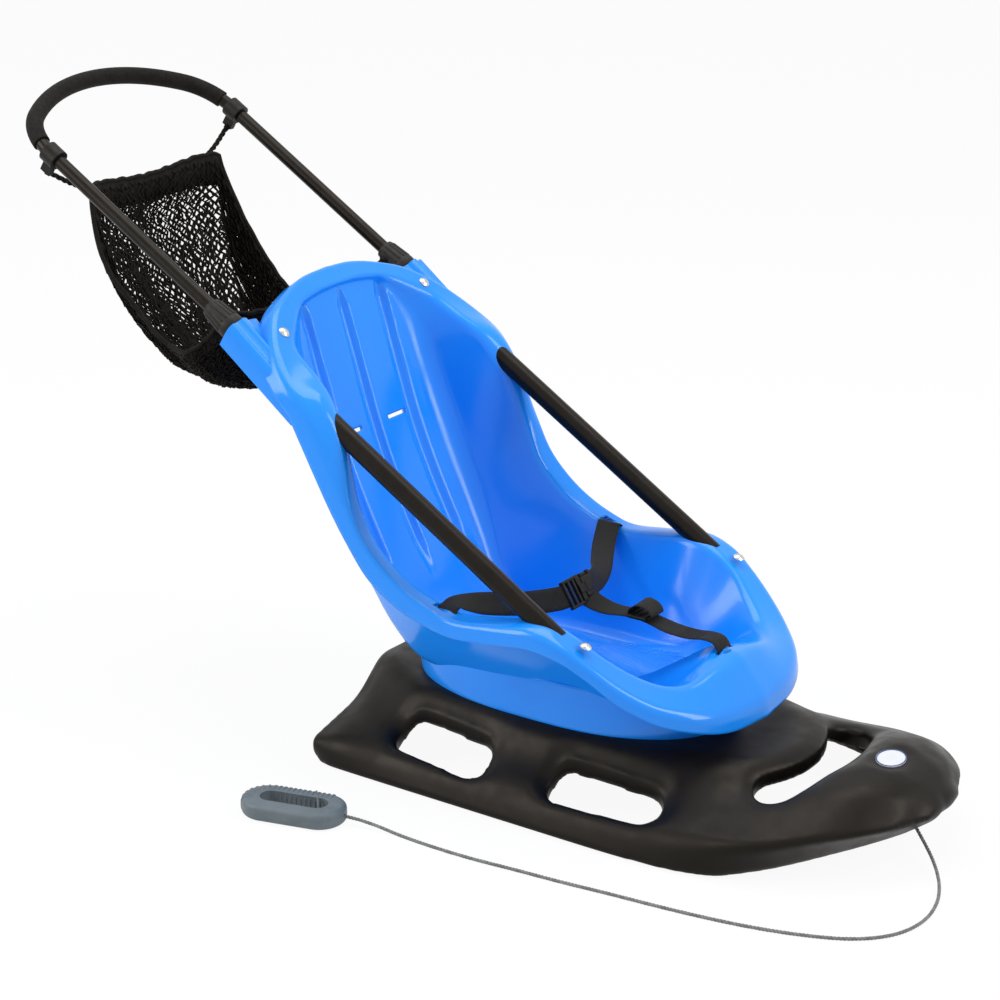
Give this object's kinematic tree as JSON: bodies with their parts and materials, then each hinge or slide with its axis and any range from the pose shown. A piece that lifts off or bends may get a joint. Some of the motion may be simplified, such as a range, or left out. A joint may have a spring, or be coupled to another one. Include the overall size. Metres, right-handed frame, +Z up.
{
  "type": "child sled",
  "caption": "Child sled with a moulded bucket seat and harness on a moulded base, a telescopic push handle with a net bag, and a tow cord with a loop grip.",
  "frame": {"origin": "on the ground, below the middle of the length from handle bow to nose", "axes": "+X to the nose, +Y to the rider's left, +Z up"},
  "size_m": [1.3776, 0.62, 0.7971],
  "materials": {
    "base_plastic": "satin",
    "seat_plastic": "gloss",
    "tube_black": "satin",
    "collar_plastic": "matt",
    "grip_foam": "matt",
    "net_cord": "knotted",
    "webbing": "woven",
    "buckle_plastic": "satin",
    "rivet_metal": "satin",
    "badge_plain": "gloss",
    "tow_plastic": "satin",
    "tow_cord": "braided"
  },
  "bodies": {
    "root": {"sled_base": "base_plastic", "seat_shell": "seat_plastic", "outer_tube_right": "tube_black", "outer_tube_left": "tube_black", "collar_right": "collar_plastic", "collar_left": "collar_plastic", "lap_belt_right": "webbing", "lap_belt_left": "webbing", "crotch_strap": "webbing", "buckle_socket": "buckle_plastic", "buckle_plug": "buckle_plastic", "strap_adjuster": "buckle_plastic", "rivets": "rivet_metal", "badge_plate": "badge_plain", "tow_eyelet": "tow_plastic", "tow_rope": "tow_cord", "tow_knot": "tow_cord", "tow_grip": "tow_plastic"},
    "handle": {"handle_bar": "tube_black", "handle_grip": "grip_foam", "bag_clip_right": "collar_plastic", "bag_clip_left": "collar_plastic", "net_bag": "net_cord"}
  },
  "joints": [
    {"name": "handle_slide", "type": "slide", "parent": "root", "child": "handle", "axis": [-0.8499, 0, 0.527], "range_m": [-0.27, 0], "deforming": ["net_bag"]}
  ]
}
